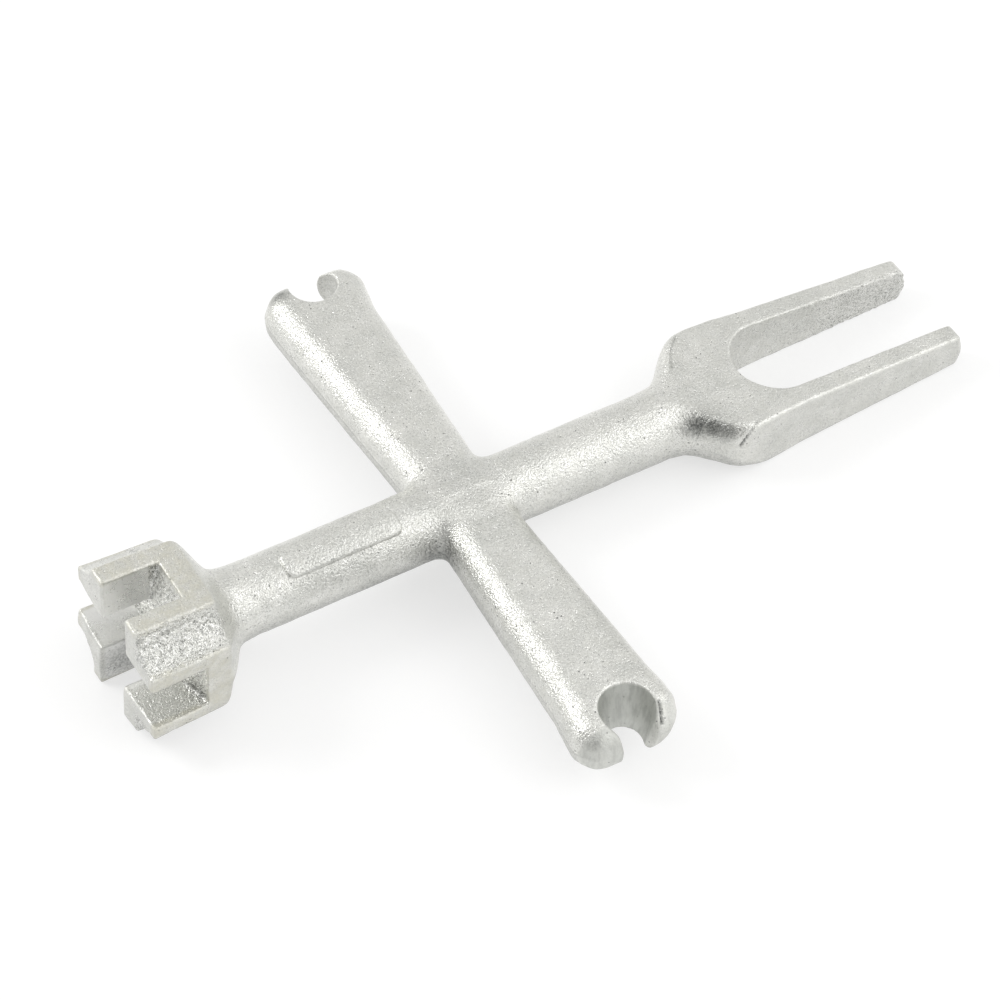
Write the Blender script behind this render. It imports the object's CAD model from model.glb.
"""Looks for the four-way drain wrench: one skin of zinc-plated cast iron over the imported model.

The casting is drawn as a distance field in the wrench's own frame, in millimetres: the origin at
the hub's centre, +X to the fork, +Y to the far arm and +Z up. The field is turned into one fine
skin, roughened, and then cut between the members, so that each piece stands for its CAD node.
"""
import math

import bmesh
import bpy
import numpy as np
from mathutils import Matrix, Vector, noise


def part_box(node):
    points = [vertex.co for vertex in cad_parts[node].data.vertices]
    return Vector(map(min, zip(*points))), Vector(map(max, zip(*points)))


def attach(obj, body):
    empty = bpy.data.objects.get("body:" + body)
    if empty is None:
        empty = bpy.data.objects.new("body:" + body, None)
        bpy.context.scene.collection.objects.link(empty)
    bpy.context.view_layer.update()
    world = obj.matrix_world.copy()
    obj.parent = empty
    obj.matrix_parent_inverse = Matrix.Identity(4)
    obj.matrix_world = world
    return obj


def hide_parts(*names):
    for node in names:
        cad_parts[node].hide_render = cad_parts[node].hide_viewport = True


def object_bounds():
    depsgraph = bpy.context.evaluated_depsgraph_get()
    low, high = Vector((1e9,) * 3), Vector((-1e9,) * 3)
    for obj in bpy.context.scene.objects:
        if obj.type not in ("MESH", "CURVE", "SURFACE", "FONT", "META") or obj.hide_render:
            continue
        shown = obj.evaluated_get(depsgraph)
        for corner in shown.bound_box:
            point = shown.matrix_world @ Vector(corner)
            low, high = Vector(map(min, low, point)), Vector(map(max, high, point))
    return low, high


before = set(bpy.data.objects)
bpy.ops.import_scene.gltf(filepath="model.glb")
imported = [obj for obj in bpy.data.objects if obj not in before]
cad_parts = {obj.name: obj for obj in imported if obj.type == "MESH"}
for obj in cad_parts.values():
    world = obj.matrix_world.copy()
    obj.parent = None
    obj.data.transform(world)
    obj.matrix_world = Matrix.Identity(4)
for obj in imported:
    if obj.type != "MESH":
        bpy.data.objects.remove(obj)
CAD_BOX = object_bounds()

MM = 0.001

# Shank and hub
SHANK_RADIUS = 7.95
SHANK_SHIFT_Y = -0.1
HUB_FILLET = 2.8
HUB_TOP_FILLET = 3.5                  # wider above and below, where the arms run into the shank
HUB_TOP_Z = (3.0, 6.0)
HUB_FLAT_Z = 6.5                      # the shank's crest is flattened where the arms cross it
HUB_FLAT_RAMP = 3.6
HUB_FLAT_EDGE = 2.0
FORK_RAMP_X = (3.0, 17.0)             # over these the crest rises to its full height again
CROWN_RAMP_X = (3.0, 15.0)
HUB_CUT_X = 11.75                     # the hub ends here, halfway across the gap in the model
HUB_CUT_Y = 10.55
SHANK_ENDS_X = (-50.8, 48.8)          # the shank's own cylinder, just into the crown and the fork

# Crown
NECK_CUT_X = -51.85
PRONG_CUT_X = -71.45
CROWN_RISE = 0.4
CROWN_PROFILE = (                     # x, half-width, squareness of the section
    (-40.0, 7.95, 0.0), (-52.5, 7.95, 0.0), (-56.6, 8.4, 0.0), (-59.0, 9.7, 0.15),
    (-60.8, 12.1, 0.55), (-62.4, 14.5, 0.95), (-64.0, 16.2, 1.0), (-71.0, 16.5, 1.0),
    (-82.2, 16.9, 1.0), (-90.0, 17.0, 1.0),
)
CROWN_START_X = -50.0
CROWN_TIP_X = -82.3
CROWN_TIP_EDGE = 0.5
LOWER_HALF = (2.0, 8.0)               # depths over which the lower half takes on its own shape
LOWER_TIP_REACH = 0.6                 # the lower prongs are longer by this much
LOWER_TIP_LEAN = 0.7                  # and shorter than that by this much on the near side
LOWER_LEAN_Y = (4.0, 16.0)
FAR_TIP_LEAN = 0.35                   # both far prongs are shorter by this much at the outer edge
FAR_LEAN_Y = (8.0, 16.0)
LOWER_REAR_LEAN = 0.7                 # the rear shoulder lies this much nearer the tips low down
REAR_LEAN_Z = (3.0, 10.0)
NEAR_REAR_BULGE = 0.8                 # and bulges back by this much at mid-height on the near side
REAR_BULGE_Y = (6.0, 12.0)
REAR_BULGE_Z = -1.5
REAR_BULGE_SPREAD = 1.8
LOWER_FLAT_DROP = 0.3                 # the lower prongs stand out sideways by this much
NEAR_LOWER_RISE = 1.5                 # and the near one's underside lies higher by this much
NEAR_RISE_Y = (0.0, 4.0)
FLAT_SHARE = 0.57                     # how far the flats reach before the hollow corners
NEAR_SAG = 1.9                        # how deep the hollow corners are
FAR_UPPER_SAG = 0.9
FAR_LOWER_SAG = 3.0
CORNER_EDGE = 0.4
SLOT_HALF_Y = 5.2
SLOT_HALF_Z = 5.6
SLOT_FLOOR_X = -71.0
SLOT_FLOOR_RISE = 1.7                 # the floors slope out towards the flats
FLOOR_RISE_REACH = (9.0, 16.0)
SLOT_DRIFT = 0.7                      # the upright slot leans over towards its lower end
SLOT_DRIFT_Z = (0.0, 8.0)
SLOT_LOW_HALF_Z = 5.45                # the level slot's lower wall, at the middle of its length
SLOT_LOW_SLOPE = 0.055
SLOT_RIM = 0.35
SLOT_ROOT = 0.8                       # rounding between the slots' walls and floors

# Arms
ARM_CORNER = 5.6
ARM_CORNER_LIMIT = 0.95               # the corners' share of the half-height, at most
ARM_PROFILE = (                       # distance, slim side, full side, half-height
    (0.0, 8.45, 8.45, 6.5), (57.0, 11.4, 11.4, 6.5), (62.0, 12.0, 12.1, 6.45),
    (65.6, 12.1, 12.6, 6.3), (67.8, 11.1, 12.0, 5.9), (69.6, 9.6, 10.8, 5.1),
    (70.8, 8.0, 9.5, 4.1), (71.5, 6.7, 8.2, 3.0), (73.0, 3.0, 4.0, 1.0),
)
ARM_BLUR = 0.5
ARM_TIP_ZONE = (55.0, 66.0)           # the tips' sideways shift comes in over this stretch
ARM_TIP_Y = 71.5
ARM_TIP_ROUND = 2.0
HORN_CUT_Y = 65.75
NOTCH_RIM = 0.6
MOUTH_FILLET = 0.6
TIP_FACET = (0.72, 0.69, 53.24)       # the sloping end of each horn: outward, up, and how far out
TIP_FACET_EDGE = 0.6
TIPS = {                              # side of the arm: shift, notch centre, radius, draft, mouth
    "far": (1, 0.6, 0.9, 66.8, 5.5, -0.02, 0.58),
    "near": (-1, -0.1, 0.2, 65.5, 5.1, 0.16, 0.76),
}

# Fork
YOKE_CUT_X = 49.35
TINE_CUT_X = 80.15
FORK_START_X = 48.0
FORK_PROFILE = (                      # x, half-width, corner
    (40.0, 7.95, 7.95), (49.5, 7.95, 7.95), (52.8, 8.6, 7.4), (55.6, 10.8, 6.6),
    (58.0, 13.5, 5.6), (60.6, 15.5, 4.0), (63.0, 16.15, 2.2), (66.0, 15.9, 1.0),
    (72.0, 15.35, 0.7), (80.0, 14.75, 0.7), (122.5, 13.6, 0.7), (130.0, 13.3, 0.7),
)
FORK_HALF_HEIGHT = 7.5
FORK_HEIGHT_X = (49.0, 56.0)          # from the shank's height to the fork's
TAPER_X = 72.0
FORK_TIP_X = 122.5
FORK_TIP_ROUND = 1.3
FORK_TIP_SLOPE = 0.28                 # the tips' ends lean back towards the top and the bottom
FORK_TIP_MIDDLE = -0.6
FORK_TIP_UPRIGHT = 0.8                # half the height of the tips' upright middle
FORK_LOW_CORNER = 2.2                 # how much rounder the shoulders are underneath
FORK_LOW_Z = (0.0, 2.0)
FORK_LOW_START_X = (52.0, 56.0)
FORK_LOW_END_X = (70.0, 63.0)
CROTCH_X = 79.7
CROTCH_RADIUS = 9.9
TINE_INNER_TIP = 9.1
TINE_RIM = 0.45

# Lean on the bench, which the crown touches at its lower flats' rear edge
REST_X = -63.8
REST_Z = -16.2
LEAN = math.atan2(-REST_Z - CROWN_RISE - FORK_HALF_HEIGHT, TAPER_X - REST_X)

# Blank pad
PAD_START_X = -44.0
PAD_END_X = -17.0
PAD_RISE = 0.75
PAD_TURN = math.radians(-14)
PAD_HALF_SPREAD = math.radians(21)
PAD_CORNER = 1.6
PAD_EDGE = 0.7
PAD_FOOT = 1.0                        # fillet between the pad and the shank
PAD_BED = 0.2                         # the pad's own length of shank lies this far under the skin
PAD_SKIRT = 1.2                       # and reaches this far past the pad
PAD_SKIRT_CORNER = 2.4
PAD_ROOT = 1.5                        # how far the pad's piece reaches into the shank
PAD_SKIN_BOX = ((PAD_START_X - 2.5, -9.5, 3.0), (PAD_END_X + 2.5, 5.5, 9.8))

# Skin
VOXEL = 0.36
BLOCK = 8                             # voxels along one block of the sparse grid
REACH = 1.5                           # a block is filled in when its centre is this near the skin
BLOCKS_AT_ONCE = 800
SETTLE_ROUNDS = 2
SETTLE_LIMIT = 0.3                    # the furthest that a point moves in one round
LEAST_SLOPE = 0.05
CASTING_BOX = ((-84.5, -74.0, -18.6), (125.0, 74.0, 19.4))
PROFILE_BLUR = 0.7
PROFILE_STEP = 0.1
SLOPE_STEP = 0.05
BEND_REACH = 0.9                      # how far round each point its sharpness is measured
BUMPS = (                             # size, height everywhere, per coarseness, per sharpness
    (7.0, 0.10, 0.0, 0.0), (2.6, 0.05, 0.0, 0.0), (1.35, 0.0, 0.05, 0.15), (0.8, 0.0, 0.04, 0.24),
)
SHARP_FROM = 0.5                      # coarseness above which the bumps turn sharp
PARTING_RISE = 0.2                    # the ridge where the mould's halves met, along the arms
PARTING_WIDTH = 0.4
PARTING_Z = 0.4
PARTING_Y = (9.0, 14.0)
PARTING_X = (30.0, 25.0)
PARTING_CLEAR = (0.8, 2.0)            # it fades out this near the notches
CREASE_DEPTH = 0.4
CREASE_WIDTH = 0.3
CREASES = (                           # folds left by the mould: strength, and points along each
    (1.3, ((65.2, -14.8, 7.3), (63.6, -15.4, 6.6), (62.4, -15.8, 5.4), (61.0, -15.7, 2.2))),
    (0.45, ((62.9, 14.4, 7.4), (60.4, 12.2, 7.5), (58.6, 9.6, 7.4), (57.4, 7.2, 7.5))),
    (1.2, ((6.8, -66.9, 5.9), (6.4, -68.1, 5.5), (5.8, -69.8, 4.5), (5.5, -70.6, 3.2))),
)
UNDERSIDE_GRIME = 0.5
UNDERSIDE_TURN = (-0.35, 0.5)         # how far a face looks down
CLEAN_WALL = (0.5, 0.0)               # the smooth walls hold none of it
GRIME = (                             # middle, reach and strength of the dark patches
    ((-10.5, -9.5, -2.0), (6.0, 6.0, 6.0), 1.0),
    ((-22.0, -7.0, -4.5), (16.0, 4.0, 4.0), 0.9),
    ((-9.5, -24.0, -4.0), (3.0, 18.0, 4.0), 0.8),
    ((54.2, -8.2, 5.4), (4.0, 2.8, 3.0), 1.0),
    ((56.6, -10.6, 5.6), (3.2, 2.4, 2.2), 1.0),
    ((58.6, -12.7, 5.4), (3.4, 2.6, 2.2), 0.8),
    ((-7.2, 67.6, 5.6), (2.6, 2.2, 3.0), 0.7),
    ((-77.0, 5.9, -11.5), (9.0, 0.8, 8.0), 0.75),
    ((-77.0, 11.5, -5.05), (9.0, 6.0, 0.8), 0.35),
    ((-34.0, -5.0, 5.0), (14.0, 5.0, 5.0), 0.27),
    ((30.0, -7.6, -2.0), (24.0, 4.0, 5.0), 0.3),
    ((0.0, 0.0, 8.0), (9.0, 9.0, 3.0), 0.12),
)


# ---------------------------------------------------------------- distance fields

def soft_union(a, b, radius):
    """The nearer of two fields, with a fillet where they meet."""
    overlap = np.maximum(radius - np.abs(a - b), 0.0) / radius
    return np.minimum(a, b) - overlap * overlap * radius / 4


def soft_common(a, b, radius):
    """What two fields share, with its edge rounded off."""
    return -soft_union(-a, -b, radius)


def soft_cut(body, tool, radius):
    return soft_common(body, -tool, radius)


def soft_step(value, start, end):
    share = np.clip((value - start) / (end - start), 0.0, 1.0)
    return share * share * (3 - 2 * share)


def rounded_rectangle(u, v, half_u, half_v, corner):
    out_u = np.abs(u) - half_u + corner
    out_v = np.abs(v) - half_v + corner
    outside = np.hypot(np.maximum(out_u, 0.0), np.maximum(out_v, 0.0))
    return outside + np.minimum(np.maximum(out_u, out_v), 0.0) - corner


class Profile:
    """Numbers that run smoothly along one axis, given at a few stations."""

    def __init__(self, stations, blur=PROFILE_BLUR):
        table = np.array(sorted(stations))
        step = PROFILE_STEP
        self.places = np.arange(table[0, 0], table[-1, 0], step)
        reach = int(3 * blur / step)
        weights = np.exp(-0.5 * (np.arange(-reach, reach + 1) * step / blur) ** 2)
        weights /= weights.sum()
        self.columns = []
        for column in table.T[1:]:
            values = np.interp(self.places, table[:, 0], column)
            padded = np.pad(values, reach, mode="edge")
            self.columns.append(np.convolve(padded, weights, mode="valid"))
        self.slopes = [np.gradient(column, step) for column in self.columns]

    def __call__(self, place):
        return [np.interp(place, self.places, column) for column in self.columns]

    def steepness(self, place, column=0):
        """How much longer a step along the slope is than a step along the axis."""
        return np.sqrt(1 + np.interp(place, self.places, self.slopes[column]) ** 2)


CROWN = Profile(CROWN_PROFILE)
ARM = Profile(ARM_PROFILE, ARM_BLUR)
FORK = Profile(FORK_PROFILE)


def shank_field(x, y, z):
    ends = np.maximum(SHANK_ENDS_X[0] - x, x - SHANK_ENDS_X[1])
    tube = np.hypot(y - SHANK_SHIFT_Y, z) - SHANK_RADIUS
    away = soft_step(x, *FORK_RAMP_X) + soft_step(-x, *CROWN_RAMP_X)
    top = HUB_FLAT_Z + HUB_FLAT_RAMP * away
    return np.maximum(soft_common(tube, np.abs(z) - top, HUB_FLAT_EDGE), ends)


def crown_field(x, y, z):
    bulge = np.exp(-((z - REAR_BULGE_Z) / REAR_BULGE_SPREAD) ** 2)
    bulge = NEAR_REAR_BULGE * bulge * soft_step(-y, *REAR_BULGE_Y)
    half, squareness = CROWN(x + LOWER_REAR_LEAN * soft_step(-z, *REAR_LEAN_Z) - bulge)
    z = z - CROWN_RISE * squareness
    low = soft_step(-z, *LOWER_HALF)
    sag = np.where(y < 0, NEAR_SAG, np.where(z > 0, FAR_UPPER_SAG, FAR_LOWER_SAG))
    drop = LOWER_FLAT_DROP * low * squareness
    rise = NEAR_LOWER_RISE * low * squareness * soft_step(-y, *NEAR_RISE_Y)
    flats = np.maximum(np.abs(y) - drop, np.abs(z) + rise) - half
    chord = (1 - FLAT_SHARE) * half * math.sqrt(2)
    hollow = (chord * chord / 4 + sag ** 2) / (2 * sag)
    middle = (1 + FLAT_SHARE) * half / 2 + (hollow - sag) / math.sqrt(2)
    corners = hollow - np.hypot(np.abs(y) - middle, np.abs(z) - middle)
    square = soft_common(flats, corners, CORNER_EDGE)
    tube = np.hypot(y, z) - half
    side = (tube + (square - tube) * squareness) / CROWN.steepness(x)
    reach = low * (LOWER_TIP_REACH - LOWER_TIP_LEAN * soft_step(-y, *LOWER_LEAN_Y))
    reach = reach - FAR_TIP_LEAN * soft_step(y, *FAR_LEAN_Y)
    block = soft_common(side, CROWN_TIP_X - reach - x, CROWN_TIP_EDGE)
    block = np.maximum(block, x - CROWN_START_X)
    outer = np.maximum(np.abs(y), np.abs(z))
    floor = SLOT_FLOOR_X + SLOT_FLOOR_RISE * soft_step(outer, *FLOOR_RISE_REACH)
    drift = SLOT_DRIFT * soft_step(-z, *SLOT_DRIFT_Z)
    upright = soft_common(np.abs(y - drift) - SLOT_HALF_Y, x - floor, SLOT_ROOT)
    half_z = np.where(z < 0, SLOT_LOW_HALF_Z - SLOT_LOW_SLOPE * y, SLOT_HALF_Z)
    level = soft_common(np.abs(z) - half_z, x - floor, SLOT_ROOT)
    return soft_cut(block, np.minimum(upright, level), SLOT_RIM)


def notch_field(x, distance, z, centre_x, centre_y, radius, draft, mouth_share):
    size = radius + draft * z
    round_end = np.hypot(x - centre_x, distance - centre_y) - size
    mouth = np.maximum(np.abs(x - centre_x) - mouth_share * size, centre_y - distance)
    return soft_union(round_end, mouth, MOUTH_FILLET)


def arm_field(x, y, z, side, shift, *notch):
    """The full side of the tip is towards the fork on the far arm, and away from it on the near."""
    distance = side * y
    slim, full, half_height = ARM(distance)
    centre = side * (full - slim) / 2 + shift * soft_step(distance, *ARM_TIP_ZONE)
    corner = np.minimum(ARM_CORNER, ARM_CORNER_LIMIT * half_height)
    arm = rounded_rectangle(x - centre, z, (full + slim) / 2, half_height, corner)
    arm = arm / ARM.steepness(distance, 1)
    arm = soft_common(arm, distance - ARM_TIP_Y, ARM_TIP_ROUND)
    outward, up, place = TIP_FACET
    arm = soft_common(arm, outward * distance + up * z - place, TIP_FACET_EDGE)
    arm = np.maximum(arm, -distance)
    return soft_cut(arm, notch_field(x, distance, z, *notch), NOTCH_RIM)


def fork_field(x, y, z):
    half, corner = FORK(x)
    height = FORK_HALF_HEIGHT - math.tan(LEAN) * np.maximum(x - TAPER_X, 0.0)
    height = SHANK_RADIUS + (height - SHANK_RADIUS) * soft_step(x, *FORK_HEIGHT_X)
    low = FORK_LOW_CORNER * soft_step(-z, *FORK_LOW_Z) * soft_step(x, *FORK_LOW_START_X)
    corner = corner + low * soft_step(x, *FORK_LOW_END_X)
    fork = rounded_rectangle(y, z, half, height, np.minimum(corner, height))
    fork = fork / FORK.steepness(x)
    lean = FORK_TIP_SLOPE * np.maximum(np.abs(z - FORK_TIP_MIDDLE) - FORK_TIP_UPRIGHT, 0.0)
    tip = (x - FORK_TIP_X + lean) / math.hypot(1, FORK_TIP_SLOPE)
    fork = soft_common(fork, tip, FORK_TIP_ROUND)
    fork = np.maximum(fork, FORK_START_X - x)
    narrowing = (TINE_INNER_TIP - CROTCH_RADIUS) * (x - CROTCH_X) / (FORK_TIP_X - CROTCH_X)
    inner = CROTCH_RADIUS + narrowing
    round_end = np.hypot(x - CROTCH_X, y) - CROTCH_RADIUS
    gap = np.where(x < CROTCH_X, round_end, np.abs(y) - inner)
    return soft_cut(fork, gap, TINE_RIM)


def casting_field(x, y, z):
    """The whole casting without its pad: below zero inside, above zero outside."""
    body = shank_field(x, y, z)
    fillet = HUB_FILLET + (HUB_TOP_FILLET - HUB_FILLET) * soft_step(np.abs(z), *HUB_TOP_Z)
    parted = soft_step(np.abs(y), *PARTING_Y) * soft_step(np.abs(x), *PARTING_X)
    for tip in TIPS.values():
        body = soft_union(body, arm_field(x, y, z, *tip), fillet)
        side, _, centre_x, centre_y, radius, _, _ = tip
        notch = np.hypot(x - centre_x, np.minimum(side * y - centre_y, 0.0)) - radius
        parted = parted * soft_step(notch, *PARTING_CLEAR)
    body = np.minimum(body, crown_field(x, y, z))
    body = np.minimum(body, fork_field(x, y, z))
    ridge = PARTING_RISE * np.exp(-((z - PARTING_Z) / PARTING_WIDTH) ** 2)
    return body - ridge * parted


def pad_field(x, y, z):
    """The raised pad, on a length of shank that stays just under the casting's own skin."""
    along = x - (PAD_START_X + PAD_END_X) / 2
    around = SHANK_RADIUS * (np.arctan2(y, z) - PAD_TURN)
    half_along = (PAD_END_X - PAD_START_X) / 2
    half_around = SHANK_RADIUS * PAD_HALF_SPREAD
    radial = np.hypot(y, z) - SHANK_RADIUS
    outline = rounded_rectangle(along, around, half_along, half_around, PAD_CORNER)
    plate = soft_common(outline, radial - PAD_RISE, PAD_EDGE)
    raised = soft_union(plate, radial + PAD_BED, PAD_FOOT)
    skirt = rounded_rectangle(
        along, around, half_along + PAD_SKIRT, half_around + PAD_SKIRT, PAD_SKIRT_CORNER
    )
    return np.maximum(np.maximum(raised, skirt), -radial - PAD_ROOT)


# ---------------------------------------------------------------- skin

def gradient(field, points):
    step = SLOPE_STEP
    rows = []
    for axis in range(3):
        ahead = points.copy()
        behind = points.copy()
        ahead[:, axis] += step
        behind[:, axis] -= step
        rows.append((field(*ahead.T) - field(*behind.T)) / (2 * step))
    return np.stack(rows, 1)


def sample(field, low, high):
    """The field on a regular grid. Blocks far from the skin only get its sign."""
    size = VOXEL * BLOCK
    blocks = np.ceil((high - low) / size).astype(int)
    centres = [low[axis] + size * (np.arange(blocks[axis]) + 0.5) for axis in range(3)]
    middle = field(*[grid.ravel() for grid in np.meshgrid(*centres, indexing="ij")])
    middle = middle.reshape(blocks)
    values = np.where(middle < 0, -1.0, 1.0).astype(np.float32)
    for axis in range(3):
        values = np.repeat(values, BLOCK, axis=axis)
    values = np.pad(values, [(0, 1)] * 3, mode="edge")
    near = np.argwhere(np.abs(middle) < REACH * size)
    steps = np.arange(BLOCK + 1)
    offsets = np.stack(np.meshgrid(steps, steps, steps, indexing="ij"), -1).reshape(-1, 3)
    for part in np.array_split(near, max(1, len(near) // BLOCKS_AT_ONCE)):
        index = (part[:, None, :] * BLOCK + offsets[None]).reshape(-1, 3)
        found = field(*(low + index * VOXEL).T)
        values[index[:, 0], index[:, 1], index[:, 2]] = found
    return values


def surface_net(values, low):
    """One vertex in each cell that the skin crosses, and a quad on each grid edge it crosses."""
    inside = values < 0
    shape = np.array(values.shape) - 1
    count = np.zeros(shape, np.uint8)
    corners = [(i, j, k) for i in (0, 1) for j in (0, 1) for k in (0, 1)]
    for i, j, k in corners:
        count += inside[i:i + shape[0], j:j + shape[1], k:k + shape[2]]
    cells = np.argwhere((count > 0) & (count < 8))
    number = np.full(shape, -1, np.int32)
    number[cells[:, 0], cells[:, 1], cells[:, 2]] = np.arange(len(cells))
    total = np.zeros((len(cells), 3))
    hits = np.zeros(len(cells))
    for axis in range(3):
        for corner in corners:
            if corner[axis]:
                continue
            start = cells + np.array(corner)
            end = start.copy()
            end[:, axis] += 1
            a = values[start[:, 0], start[:, 1], start[:, 2]].astype(float)
            b = values[end[:, 0], end[:, 1], end[:, 2]].astype(float)
            crossed = (a < 0) != (b < 0)
            share = np.where(crossed, a / np.where(crossed, a - b, 1.0), 0.0)
            place = start.astype(float)
            place[:, axis] += share
            total += np.where(crossed[:, None], place, 0.0)
            hits += crossed
    points = low + VOXEL * total / hits[:, None]
    quads = []
    for axis in range(3):
        u, v = (axis + 1) % 3, (axis + 2) % 3
        here = [slice(1, -1)] * 3
        ahead = [slice(1, -1)] * 3
        here[axis] = slice(0, -1)
        ahead[axis] = slice(1, None)
        starts = inside[tuple(here)]
        changes = np.argwhere(starts != inside[tuple(ahead)])
        offset = np.ones(3, int)
        offset[axis] = 0
        edges = changes + offset
        ring = []
        for du, dv in ((0, 0), (-1, 0), (-1, -1), (0, -1)):
            cell = edges.copy()
            cell[:, u] += du
            cell[:, v] += dv
            ring.append(number[cell[:, 0], cell[:, 1], cell[:, 2]])
        ring = np.stack(ring, 1)
        outward = starts[changes[:, 0], changes[:, 1], changes[:, 2]]
        quads.append(np.where(outward[:, None], ring, ring[:, ::-1]))
    return points, np.concatenate(quads)


def settle(field, points):
    """Moves the points onto the skin itself."""
    for _ in range(SETTLE_ROUNDS):
        slope = gradient(field, points)
        length = np.maximum((slope * slope).sum(1), LEAST_SLOPE)
        move = slope * (field(*points.T) / length)[:, None]
        size = np.linalg.norm(move, axis=1, keepdims=True)
        points = points - move * np.minimum(1.0, SETTLE_LIMIT / np.maximum(size, 1e-9))
    return points


def bumps(points, size, seed):
    """Smooth noise from -1 to 1, with features of about that size in millimetres."""
    shift = Vector((seed * 17.3, seed * 5.1, seed * 9.7))
    return np.array([noise.noise(Vector(point) / size + shift) for point in points.tolist()])


def mesh_normals(points, quads):
    across = points[quads[:, 2]] - points[quads[:, 0]]
    along = points[quads[:, 3]] - points[quads[:, 1]]
    face = np.cross(across, along)
    total = np.zeros_like(points)
    for corner in range(4):
        np.add.at(total, quads[:, corner], face)
    return total / np.maximum(np.linalg.norm(total, axis=1, keepdims=True), 1e-12)


EVEN_COARSENESS = 0.55                # of the shank, and what each zone adds or takes away
PATCH_COARSENESS = 0.9
BLOCK_COARSENESS = -0.3
FORK_COARSENESS = -0.2
ARM_COARSENESS = -0.15
FAR_CORNER_SHARE = 0.5
TINE_SHARE = 0.7
COARSENESS_RANGE = (0.1, 1.3)
BLOCK_X = (60.0, 65.0)                # where each zone of the masks starts and is complete
HOLLOW_REACH = (8.6, 10.0)
SLOT_FLOOR_BAND = (1.5, 0.7)
SLOT_FLOOR_MIDDLE = -70.5
FLAT_REACH = 17.0
FLAT_BAND = (0.2, 1.0)
FORK_SMOOTH_X = (52.0, 70.0)
TINE_COARSE_X = (84.0, 108.0)
TINE_WALL_Y = (10.3, 9.8)
TINE_FROM_Y = 8.0
ARM_SMOOTH_Y = (10.0, 16.0)
WARM_X = (58.0, 66.0)
WARM_REACH = (15.2, 15.9)
EVEN_WARMTH = 0.2


def roughness_mask(points):
    """How coarse the cast skin is: most in the crown's hollow corners and slot floors."""
    x, y, z = points.T
    block = soft_step(-x, *BLOCK_X)
    diagonal = np.minimum(np.abs(y), np.abs(z - CROWN_RISE))
    corner = block * soft_step(diagonal, *HOLLOW_REACH) * (1 - FAR_CORNER_SHARE * (y > 0))
    inward = FLAT_REACH - np.maximum(np.abs(y), np.abs(z))
    floor = soft_step(np.abs(x - SLOT_FLOOR_MIDDLE), *SLOT_FLOOR_BAND)
    floor = floor * soft_step(inward, *FLAT_BAND)
    fork = soft_step(x, *FORK_SMOOTH_X)
    tine = soft_step(x, *TINE_COARSE_X) * soft_step(y, *TINE_WALL_Y) * (y > TINE_FROM_Y)
    arm = soft_step(np.abs(y), *ARM_SMOOTH_Y)
    patches = np.maximum(np.maximum(corner, floor), TINE_SHARE * tine)
    total = EVEN_COARSENESS + PATCH_COARSENESS * patches + BLOCK_COARSENESS * block
    total = total + FORK_COARSENESS * fork + ARM_COARSENESS * arm
    return np.clip(total, *COARSENESS_RANGE)


def warm_mask(points):
    """Where the plate looks yellowed: the crown's outer flats, and faintly everywhere else."""
    x, y, z = points.T
    flat = soft_step(np.maximum(np.abs(y), np.abs(z - CROWN_RISE)), *WARM_REACH)
    return EVEN_WARMTH + (1 - EVEN_WARMTH) * soft_step(-x, *WARM_X) * flat


SLOT_WALL_DEPTH = (0.35, 0.0)
SLOT_WALL_X = (71.2, 71.8)
SLOT_WALL_REACH = (16.3, 15.9)
SLOT_WALL_TIP = (-0.3, -0.8)
NOTCH_WALL_DEPTH = (0.45, 0.1)
NOTCH_WALL_Z = (6.3, 5.8)
HORN_END = (66.8, 68.0)
HORN_END_DULLNESS = 0.75
FORK_SIDE_FADE = 0.65                 # the near arm's horn on the fork side is brighter
FORK_SIDE_X = (0.0, 2.0)
LIP_START = (6.6, 66.9)               # the smooth inner lip ends on a line from here: x, distance
LIP_SLOPE = 0.36
LIP_EDGE = (-0.1, 0.25)
LIP_X = (0.5, 1.5)
LIP_DISTANCE = (66.6, 67.2)
LIP_DULLNESS = 0.4


def wall_mask(points):
    """The smooth walls: -1 in the crown's bright slots, and up to 1 at the near arm's dull end."""
    x, y, z = points.T
    rise = z - CROWN_RISE
    slot = np.minimum(np.abs(y) - SLOT_HALF_Y - SLOT_DRIFT, np.abs(rise) - SLOT_HALF_Z)
    outer = np.maximum(np.abs(y), np.abs(rise))
    slots = soft_step(slot, *SLOT_WALL_DEPTH) * soft_step(-x, *SLOT_WALL_X)
    slots = slots * soft_step(outer, *SLOT_WALL_REACH)
    slots = slots * soft_step(CROWN_TIP_X - x, *SLOT_WALL_TIP)
    side, _, centre_x, centre_y, radius, draft, _ = TIPS["near"]
    distance = side * y
    notch = np.hypot(x - centre_x, distance - centre_y) - radius - draft * z
    notch = soft_step(notch, *NOTCH_WALL_DEPTH) * soft_step(np.abs(z), *NOTCH_WALL_Z)
    end = soft_step(distance, *HORN_END) * (1 - FORK_SIDE_FADE * soft_step(x, *FORK_SIDE_X))
    lip = LIP_START[0] - LIP_SLOPE * (distance - LIP_START[1])
    inner = soft_step(lip - x, *LIP_EDGE) * soft_step(x, *LIP_X)
    inner = inner * soft_step(distance, *LIP_DISTANCE)
    return np.max([HORN_END_DULLNESS * end, LIP_DULLNESS * inner, notch], axis=0) - slots


def distance_to(points, line):
    nearest = np.full(len(points), np.inf)
    for start, end in zip(line, line[1:]):
        start, end = np.array(start), np.array(end)
        along = (points - start) @ (end - start) / ((end - start) @ (end - start))
        foot = start + np.clip(along, 0, 1)[:, None] * (end - start)
        nearest = np.minimum(nearest, np.linalg.norm(points - foot, axis=1))
    return nearest


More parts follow.
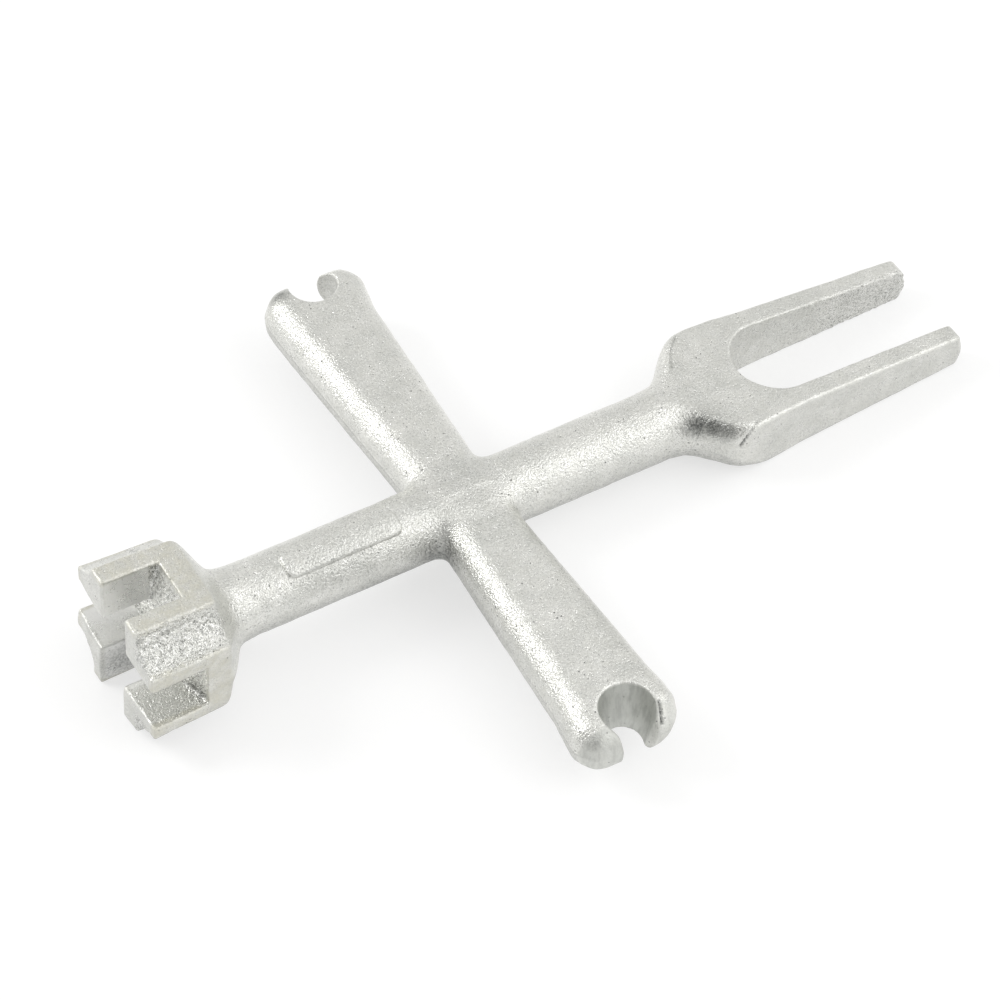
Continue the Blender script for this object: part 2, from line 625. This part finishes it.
def crease_mask(points):
    depths = [
        strength * np.exp(-(distance_to(points, line) / CREASE_WIDTH) ** 2)
        for strength, line in CREASES
    ]
    return np.max(depths, axis=0)


def grime_mask(points, normals, wall):
    """Where dirt has darkened the plate: the underside, the creases, and patches in corners."""
    under = UNDERSIDE_GRIME * soft_step(-normals[:, 2], *UNDERSIDE_TURN)
    under = under * soft_step(np.abs(wall), *CLEAN_WALL)
    total = np.maximum(crease_mask(points), under)
    for middle, reach, strength in GRIME:
        offset = (points - np.array(middle)) / np.array(reach)
        total = np.maximum(total, strength * np.exp(-(offset * offset).sum(1)))
    return total


def build_skin(field, low, high):
    """The roughened skin of a field: its points, quads and normals, and what its points carry."""
    low, high = np.array(low), np.array(high)
    points, quads = surface_net(sample(field, low, high), low)
    points = settle(field, points)
    slope = gradient(field, points)
    normals = slope / np.linalg.norm(slope, axis=1, keepdims=True)
    bend = np.zeros(len(points))
    for axis in range(3):
        for step in (-BEND_REACH, BEND_REACH):
            moved = points.copy()
            moved[:, axis] += step
            bend += field(*moved.T)
    coarse = roughness_mask(points)
    sharp = np.maximum(coarse - SHARP_FROM, 0.0)
    height = np.zeros(len(points))
    for seed, (size, even, by_coarseness, by_sharpness) in enumerate(BUMPS, 1):
        share = even + by_coarseness * coarse + by_sharpness * sharp
        height += share * bumps(points, size, seed)
    height -= CREASE_DEPTH * crease_mask(points)
    wall = wall_mask(points)
    carried = {
        "coarse": coarse, "bend": bend, "warm": warm_mask(points),
        "wall": wall, "grime": grime_mask(points, normals, wall),
    }
    points = points + normals * height[:, None]
    return points, quads, mesh_normals(points, quads), carried


def wrench_frame():
    """Rotation and place of the wrench's own axes in the model: the hub is centred on them."""
    low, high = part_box("hub")
    turn = np.array(Matrix.Rotation(LEAN, 3, "Y"))
    return turn, np.array((low + high) / 2)


TURN, ORIGIN = wrench_frame()


# ---------------------------------------------------------------- pieces

def add_point_value(mesh, name, values):
    layer = mesh.attributes.new(name, "FLOAT", "POINT")
    layer.data.foreach_set("value", values.astype(np.float32))


def region_mesh(skin, inside, name):
    """A mesh of the skin's quads that lie in a region, with what each point carries."""
    points, quads, normals, carried = skin
    quads = quads[inside(points[quads].mean(1))]
    used, quads = np.unique(quads, return_inverse=True)
    quads = quads.reshape(-1, 4)
    mesh = bpy.data.meshes.new(name)
    mesh.vertices.add(len(used))
    mesh.vertices.foreach_set("co", points[used].ravel())
    mesh.loops.add(quads.size)
    mesh.loops.foreach_set("vertex_index", quads.ravel().astype(np.int32))
    mesh.polygons.add(len(quads))
    mesh.polygons.foreach_set("loop_start", np.arange(0, quads.size, 4, dtype=np.int32))
    mesh.update(calc_edges=True)
    layer = mesh.attributes.new("skin_normal", "FLOAT_VECTOR", "POINT")
    layer.data.foreach_set("vector", normals[used].ravel().astype(np.float32))
    for key, column in carried.items():
        add_point_value(mesh, key, column[used])
    return mesh


def cut_and_cap(mesh, planes):
    """Cuts the mesh at each plane, drops what lies outside, and closes the cut with a flat face."""
    builder = bmesh.new()
    builder.from_mesh(mesh)
    for place, outward in planes:
        geometry = builder.verts[:] + builder.edges[:] + builder.faces[:]
        cut = bmesh.ops.bisect_plane(
            builder, geom=geometry, dist=1e-5, plane_co=place, plane_no=outward, clear_outer=True
        )
        edges = [item for item in cut["geom_cut"] if isinstance(item, bmesh.types.BMEdge)]
        bmesh.ops.holes_fill(builder, edges=edges, sides=0)
    builder.to_mesh(mesh)
    builder.free()


CAP_CORNERS = 6                       # a face with more corners than this closes a cut


def place_in_model(mesh):
    """From the wrench's frame in millimetres to the model's in metres, with the skin's normals."""
    count = len(mesh.vertices)
    points = np.empty(count * 3)
    mesh.vertices.foreach_get("co", points)
    points = points.reshape(-1, 3) @ TURN.T * MM + ORIGIN
    mesh.vertices.foreach_set("co", points.ravel())
    mesh.update()
    normals = np.empty(count * 3)
    mesh.attributes["skin_normal"].data.foreach_get("vector", normals)
    normals = normals.reshape(-1, 3) @ TURN.T
    normals /= np.linalg.norm(normals, axis=1, keepdims=True)
    corner_points = np.empty(len(mesh.loops), np.int32)
    mesh.loops.foreach_get("vertex_index", corner_points)
    corner_normals = normals[corner_points]
    for face in mesh.polygons:
        if len(face.vertices) > CAP_CORNERS:
            corner_normals[face.loop_start:face.loop_start + face.loop_total] = face.normal
    mesh.attributes.remove(mesh.attributes["skin_normal"])
    mesh.shade_smooth()
    mesh.normals_split_custom_set(corner_normals.tolist())


REGION_MARGIN = 1.0                   # quads are taken from this far outside, and cut back


def box_region(low_x=None, high_x=None, low_y=None, high_y=None, side_z=0):
    """A region between upright planes, as a test for points and as cutting planes."""
    def inside(points):
        x, y, z = points.T
        keep = np.ones(len(points), bool)
        for value, low, high in ((x, low_x, high_x), (y, low_y, high_y)):
            if low is not None:
                keep &= value > low - REGION_MARGIN
            if high is not None:
                keep &= value < high + REGION_MARGIN
        if side_z:
            keep &= side_z * (z - CROWN_RISE) > 0
        return keep

    planes = []
    for axis, low, high in ((0, low_x, high_x), (1, low_y, high_y)):
        for value, sign in ((low, -1), (high, 1)):
            if value is not None:
                place = Vector((0, 0, 0))
                outward = Vector((0, 0, 0))
                place[axis] = value
                outward[axis] = sign
                planes.append((place, outward))
    return inside, planes


HUB_SIDES = dict(low_y=-HUB_CUT_Y, high_y=HUB_CUT_Y)
WIDE = 30.0                           # past any side of the wrench that a region has to close
REGIONS = {
    "hub": dict(low_x=-HUB_CUT_X, high_x=HUB_CUT_X, **HUB_SIDES),
    "shank_crown_side": dict(low_x=NECK_CUT_X, high_x=-HUB_CUT_X, **HUB_SIDES),
    "shank_fork_side": dict(low_x=HUB_CUT_X, high_x=YOKE_CUT_X, **HUB_SIDES),
    "arm_far": dict(low_x=-WIDE, high_x=WIDE, low_y=HUB_CUT_Y, high_y=HORN_CUT_Y),
    "arm_near": dict(low_x=-WIDE, high_x=WIDE, low_y=-HORN_CUT_Y, high_y=-HUB_CUT_Y),
    "horn_far_crown_side": dict(high_x=TIPS["far"][2], low_y=HORN_CUT_Y),
    "horn_far_fork_side": dict(low_x=TIPS["far"][2], low_y=HORN_CUT_Y),
    "horn_near_crown_side": dict(high_x=TIPS["near"][2], high_y=-HORN_CUT_Y),
    "horn_near_fork_side": dict(low_x=TIPS["near"][2], high_y=-HORN_CUT_Y),
    "crown_base": dict(low_x=PRONG_CUT_X, high_x=NECK_CUT_X, low_y=-WIDE, high_y=WIDE),
    "crown_prong_upper_far": dict(high_x=PRONG_CUT_X, low_y=0.0, high_y=WIDE, side_z=1),
    "crown_prong_upper_near": dict(high_x=PRONG_CUT_X, low_y=-WIDE, high_y=0.0, side_z=1),
    "crown_prong_lower_far": dict(high_x=PRONG_CUT_X, low_y=0.0, high_y=WIDE, side_z=-1),
    "crown_prong_lower_near": dict(high_x=PRONG_CUT_X, low_y=-WIDE, high_y=0.0, side_z=-1),
    "fork_yoke": dict(low_x=YOKE_CUT_X, high_x=TINE_CUT_X, low_y=-WIDE, high_y=WIDE),
    "fork_tine_far": dict(low_x=TINE_CUT_X, low_y=0.0, high_y=WIDE),
    "fork_tine_near": dict(low_x=TINE_CUT_X, low_y=-WIDE, high_y=0.0),
}
SLOTS = {"crown": "crown_zinc", "fork": "fork_zinc", "arm": "arm_zinc", "horn": "arm_zinc",
         "shank": "shank_zinc", "hub": "hub_zinc", "blank": "pad_zinc"}


def everywhere(points):
    return np.ones(len(points), bool)


def add_piece(node, mesh, materials):
    place_in_model(mesh)
    slot = SLOTS[node.split("_")[0]]
    piece = bpy.data.objects.new("cast_" + node, mesh)
    bpy.context.scene.collection.objects.link(piece)
    mesh.materials.append(materials[slot])
    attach(piece, "root")
    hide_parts(node)


def build_pieces(materials):
    skin = build_skin(casting_field, *CASTING_BOX)
    for node, bounds in REGIONS.items():
        inside, planes = box_region(**bounds)
        mesh = region_mesh(skin, inside, "cast_" + node)
        cut_and_cap(mesh, planes)
        add_piece(node, mesh, materials)
    pad_skin = build_skin(pad_field, *PAD_SKIN_BOX)
    pad_mesh = region_mesh(pad_skin, everywhere, "cast_blank_mark_pad")
    add_piece("blank_mark_pad", pad_mesh, materials)


# ---------------------------------------------------------------- materials

class Graph:
    """Short names for adding nodes to a material."""

    def __init__(self, tree):
        self.tree = tree

    def add(self, kind, **settings):
        node = self.tree.nodes.new(kind)
        for key, value in settings.items():
            setattr(node, key, value)
        return node

    def link(self, source, target):
        self.tree.links.new(source, target)

    def feed(self, value, socket):
        if isinstance(value, bpy.types.NodeSocket):
            self.link(value, socket)
        else:
            socket.default_value = value

    def math(self, operation, a, b=0.0, clamp=False):
        node = self.add("ShaderNodeMath", operation=operation, use_clamp=clamp)
        self.feed(a, node.inputs[0])
        self.feed(b, node.inputs[1])
        return node.outputs[0]

    def times(self, a, b, clamp=False):
        return self.math("MULTIPLY", a, b, clamp)

    def plus(self, a, b):
        return self.math("ADD", a, b)

    def scaled(self, vector, factors):
        node = self.add("ShaderNodeVectorMath", operation="MULTIPLY")
        self.link(vector, node.inputs[0])
        node.inputs[1].default_value = factors
        return node.outputs[0]

    def noise(self, vector, size, detail=2.0, rough=0.5):
        """Noise from 0 to 1 with features of about that size, in the vector's own unit."""
        node = self.add("ShaderNodeTexNoise", noise_dimensions="3D")
        self.link(vector, node.inputs["Vector"])
        node.inputs["Scale"].default_value = 1.0 / size
        node.inputs["Detail"].default_value = detail
        node.inputs["Roughness"].default_value = rough
        return node.outputs["Fac"]

    def cells(self, vector, size):
        node = self.add("ShaderNodeTexVoronoi", feature="F1")
        self.link(vector, node.inputs["Vector"])
        node.inputs["Scale"].default_value = 1.0 / size
        return node.outputs["Distance"]

    def span(self, value, low, high, to_low=0.0, to_high=1.0):
        """Carries a value from one range over to another, and holds it at both ends."""
        node = self.add("ShaderNodeMapRange", clamp=True)
        self.feed(value, node.inputs["Value"])
        limits = {"From Min": low, "From Max": high, "To Min": to_low, "To Max": to_high}
        for name, number in limits.items():
            node.inputs[name].default_value = number
        return node.outputs["Result"]

    def mix(self, share, a, b):
        node = self.add("ShaderNodeMix", data_type="RGBA")
        self.feed(share, node.inputs["Factor"])
        for value, socket in ((a, node.inputs["A"]), (b, node.inputs["B"])):
            self.feed(value, socket)
        return node.outputs["Result"]

    def carried(self, name):
        return self.add("ShaderNodeAttribute", attribute_name=name).outputs["Fac"]


def colour(red, green, blue):
    return (red, green, blue, 1.0)


BRIGHT_ZINC = colour(0.87, 0.868, 0.835)
DULL_ZINC = colour(0.71, 0.715, 0.685)
WARM_ZINC = colour(0.70, 0.685, 0.60)
WALL_ZINC = colour(0.60, 0.61, 0.58)
PIT_GREY = colour(0.12, 0.125, 0.12)
WORN_ZINC = colour(0.93, 0.93, 0.91)
BLOTCH_SIZE = 7.0                     # sizes of the plate's patterns, in millimetres
CLOUD_SIZE = 2.2
CLUMP_SIZE = 0.75
GRAIN_SIZE = 0.55
FINE_SIZE = 0.32
PIT_SPACING = 1.5
STREAK_SIZE = 1.1
STREAK_STRETCH = (1.0, 1.0, 0.15)
EDGE_BEND = (0.5, 1.6)                # the carried bend, from flat to sharp
HOLLOW_BEND = (-0.15, -0.7)
ZINC_ROUGHNESS = (0.29, 0.41)
BUMP_HEIGHT = 0.3 * MM


class Patterns:
    """What the plate's colour, roughness and bumps share: carried values and noise."""

    def __init__(self, graph):
        coords = graph.add("ShaderNodeTexCoord").outputs["Object"]
        place = graph.scaled(coords, (1 / MM, 1 / MM, 1 / MM))
        bend = graph.carried("bend")
        self.edge = graph.span(bend, *EDGE_BEND)
        self.hollow = graph.span(bend, *HOLLOW_BEND)
        self.coarse = graph.carried("coarse")
        self.warm = graph.carried("warm")
        self.wall = graph.carried("wall")
        self.grime = graph.carried("grime")
        self.smooth = graph.span(graph.math("ABSOLUTE", self.wall), 0.0, 1.0, 1.0, 0.25)
        self.blotch = graph.noise(place, BLOTCH_SIZE, 3.0, 0.6)
        self.cloud = graph.noise(place, CLOUD_SIZE, 3.0, 0.6)
        self.clump = graph.noise(place, CLUMP_SIZE, 1.0, 0.5)
        self.grain = graph.noise(place, GRAIN_SIZE, 2.0, 0.6)
        self.fine = graph.noise(place, FINE_SIZE, 1.0, 0.5)
        self.streaks = graph.noise(graph.scaled(place, STREAK_STRETCH), STREAK_SIZE, 2.0, 0.6)
        pits = graph.cells(place, PIT_SPACING)
        here = graph.span(self.blotch, 0.45, 0.6)
        self.holes = graph.times(graph.span(pits, 0.16, 0.07), here)


def zinc_colour(graph, zinc):
    """Blotched and grainy, yellowed on the flats, dark in its pits and dirt, pale on its edges."""
    dull = graph.span(zinc.wall, 0.0, 1.0)
    dark = graph.span(zinc.grain, 0.50, 0.30, 0.0, 0.25)
    dark = graph.plus(dark, graph.span(zinc.fine, 0.46, 0.28, 0.0, 0.4))
    light = graph.span(zinc.fine, 0.52, 0.70)
    contrast = graph.times(graph.plus(0.15, graph.times(zinc.coarse, 0.8)), zinc.smooth)
    clotted = graph.times(graph.span(zinc.coarse, 0.85, 1.15), zinc.smooth)
    speckled = graph.span(zinc.grain, 0.62, 0.38, 0.6, 1.0)
    layers = (
        (graph.span(zinc.cloud, 0.45, 0.75, 0.0, 0.35), DULL_ZINC),
        (graph.times(zinc.warm, graph.span(zinc.cloud, 0.35, 0.65, 0.3, 0.9)), WARM_ZINC),
        (graph.span(zinc.wall, 0.0, -1.0, 0.0, 0.8), WORN_ZINC),
        (graph.times(dull, 0.9), WALL_ZINC),
        (graph.times(dull, graph.span(zinc.streaks, 0.55, 0.35, 0.0, 0.2)), PIT_GREY),
        (graph.times(dark, contrast, clamp=True), PIT_GREY),
        (graph.times(graph.times(light, contrast), 0.9, clamp=True), WORN_ZINC),
        (graph.times(clotted, graph.span(zinc.clump, 0.48, 0.34, 0.0, 0.4)), PIT_GREY),
        (graph.times(clotted, graph.span(zinc.clump, 0.52, 0.66, 0.0, 0.6)), WORN_ZINC),
        (graph.times(zinc.holes, 0.75), PIT_GREY),
        (graph.times(zinc.hollow, 0.12), PIT_GREY),
        (graph.times(zinc.grime, speckled, clamp=True), PIT_GREY),
        (graph.times(zinc.edge, 0.1), WORN_ZINC),
    )
    base = graph.mix(graph.span(zinc.blotch, 0.3, 0.7), DULL_ZINC, BRIGHT_ZINC)
    for share, tint in layers:
        base = graph.mix(share, base, tint)
    return base


def zinc_roughness(graph, zinc):
    rough = graph.span(zinc.cloud, 0.3, 0.7, *ZINC_ROUGHNESS)
    rough = graph.plus(rough, graph.span(zinc.fine, 0.3, 0.7, -0.08, 0.08))
    rough = graph.math("SUBTRACT", rough, graph.span(zinc.coarse, 0.6, 1.3, 0.0, 0.12))
    rough = graph.plus(rough, graph.span(zinc.wall, 0.0, 0.3, 0.0, 0.22))
    return graph.plus(rough, graph.times(zinc.edge, 0.22))


def zinc_height(graph, zinc):
    """Both noises rise and sink about zero, so that no mask's border shows as a step."""
    grain = graph.math("SUBTRACT", zinc.grain, 0.5)
    fine = graph.math("SUBTRACT", zinc.fine, 0.5)
    height = graph.plus(graph.times(grain, graph.plus(0.3, zinc.coarse)), graph.times(fine, 0.45))
    height = graph.times(height, zinc.smooth)
    return graph.math("SUBTRACT", height, graph.times(zinc.holes, 0.5))


def zinc_material(name):
    """Bright zinc plate over a rough iron skin."""
    material = bpy.data.materials.new(name)
    material.use_nodes = True
    graph = Graph(material.node_tree)
    shader = material.node_tree.nodes["Principled BSDF"]
    zinc = Patterns(graph)
    graph.link(zinc_colour(graph, zinc), shader.inputs["Base Color"])
    graph.link(zinc_roughness(graph, zinc), shader.inputs["Roughness"])
    bump = graph.add("ShaderNodeBump")
    bump.inputs["Strength"].default_value = 1.0
    bump.inputs["Distance"].default_value = BUMP_HEIGHT
    graph.link(zinc_height(graph, zinc), bump.inputs["Height"])
    graph.link(bump.outputs["Normal"], shader.inputs["Normal"])
    shader.inputs["Metallic"].default_value = 1.0
    return material


FLOOR_TONES = (colour(0.44, 0.44, 0.44), colour(0.46, 0.46, 0.46))
FLOOR_DRIFT = 0.35                    # metres across one patch of the floor's tone
FLOOR_GLOW = 1.3                      # keeps the floor near white under the wrench


def floor_material():
    material = bpy.data.materials.new("pale_floor")
    material.use_nodes = True
    graph = Graph(material.node_tree)
    shader = material.node_tree.nodes["Principled BSDF"]
    coords = graph.add("ShaderNodeTexCoord").outputs["Object"]
    tone = graph.mix(graph.noise(coords, FLOOR_DRIFT), *FLOOR_TONES)
    graph.link(tone, shader.inputs["Base Color"])
    graph.link(tone, shader.inputs["Emission Color"])
    shader.inputs["Emission Strength"].default_value = FLOOR_GLOW
    shader.inputs["Roughness"].default_value = 0.9
    shader.inputs["Specular IOR Level"].default_value = 0.1
    return material


# ---------------------------------------------------------------- studio

CAMERA_AIM = (-13.6 * MM, -6.0 * MM)  # from the middle of the model's box, at half its height
CAMERA_DISTANCE = 748.3 * MM
CAMERA_HEADING = math.radians(58.857)
CAMERA_DROP = math.radians(51.978)
CAMERA_ROLL = math.radians(0.33)
CAMERA_LENS = 127.36
SENSOR = 36.0
STUDIO_REACH = 0.9                    # from the model to the lamps
SOFTBOXES = (                         # name, direction of the light, width, height, power
    ("left_strip", (-0.58, 0.54, 0.61), 0.34, 0.36, 2.5),
    ("right_key", (0.58, -0.49, 0.65), 0.9, 0.55, 2.4),
)
ROOM_STRENGTH = 0.80
ROOM_TONE = colour(1.00, 1.00, 0.99)
ROOM_DARK_TONE = colour(0.22, 0.22, 0.22)
ROOM_DARK_SIDE = (-0.79, -0.49, 0.37)
ROOM_DARK_SPAN = (0.70, 0.98)         # cosines of the angles off that side
FLOOR_REACH = 3.0
FLOOR_STEPS = 12
FLOOR_GAP = 0.02 * MM                 # left under the model


def add_camera():
    middle = (CAD_BOX[0] + CAD_BOX[1]) / 2
    aim = middle + Vector((*CAMERA_AIM, 0))
    level = math.cos(CAMERA_DROP)
    forward = Vector((
        level * math.cos(CAMERA_HEADING), level * math.sin(CAMERA_HEADING), -math.sin(CAMERA_DROP)
    ))
    data = bpy.data.cameras.new("photo_camera")
    data.lens = CAMERA_LENS
    data.sensor_width = SENSOR
    data.clip_start = 0.01
    camera = bpy.data.objects.new("photo_camera", data)
    bpy.context.scene.collection.objects.link(camera)
    camera.location = aim - forward * CAMERA_DISTANCE
    upright = forward.to_track_quat("-Z", "Y").to_matrix()
    camera.rotation_euler = (upright @ Matrix.Rotation(CAMERA_ROLL, 3, "Z")).to_euler()
    bpy.context.scene.camera = camera


def add_softboxes():
    middle = (CAD_BOX[0] + CAD_BOX[1]) / 2
    for name, direction, width, height, power in SOFTBOXES:
        data = bpy.data.lights.new(name, "AREA")
        data.shape = "RECTANGLE"
        data.size = width
        data.size_y = height
        data.energy = power
        lamp = bpy.data.objects.new(name, data)
        bpy.context.scene.collection.objects.link(lamp)
        toward = Vector(direction).normalized()
        lamp.location = middle + toward * STUDIO_REACH
        lamp.rotation_euler = (-toward).to_track_quat("-Z", "Y").to_euler()


def add_world():
    """An even, pale room that is darker at the front, where the photographer stands."""
    world = bpy.data.worlds.new("studio_room")
    world.use_nodes = True
    bpy.context.scene.world = world
    graph = Graph(world.node_tree)
    background = world.node_tree.nodes["Background"]
    direction = graph.add("ShaderNodeTexCoord").outputs["Generated"]
    dot = graph.add("ShaderNodeVectorMath", operation="DOT_PRODUCT")
    graph.link(direction, dot.inputs[0])
    dot.inputs[1].default_value = Vector(ROOM_DARK_SIDE).normalized()
    shade = graph.span(dot.outputs["Value"], *ROOM_DARK_SPAN)
    tone = graph.mix(shade, ROOM_TONE, ROOM_DARK_TONE)
    graph.link(tone, background.inputs["Color"])
    background.inputs["Strength"].default_value = ROOM_STRENGTH


def add_floor():
    mesh = bpy.data.meshes.new("bench_floor")
    builder = bmesh.new()
    bmesh.ops.create_grid(
        builder, x_segments=FLOOR_STEPS, y_segments=FLOOR_STEPS, size=FLOOR_REACH
    )
    builder.to_mesh(mesh)
    builder.free()
    floor = bpy.data.objects.new("bench_floor", mesh)
    bpy.context.scene.collection.objects.link(floor)
    floor.location.z = CAD_BOX[0].z - FLOOR_GAP
    mesh.materials.append(floor_material())


materials = {slot: zinc_material(slot) for slot in sorted(set(SLOTS.values()))}
build_pieces(materials)
add_floor()
add_world()
add_softboxes()
add_camera()
bpy.context.scene.view_settings.view_transform = "Standard"
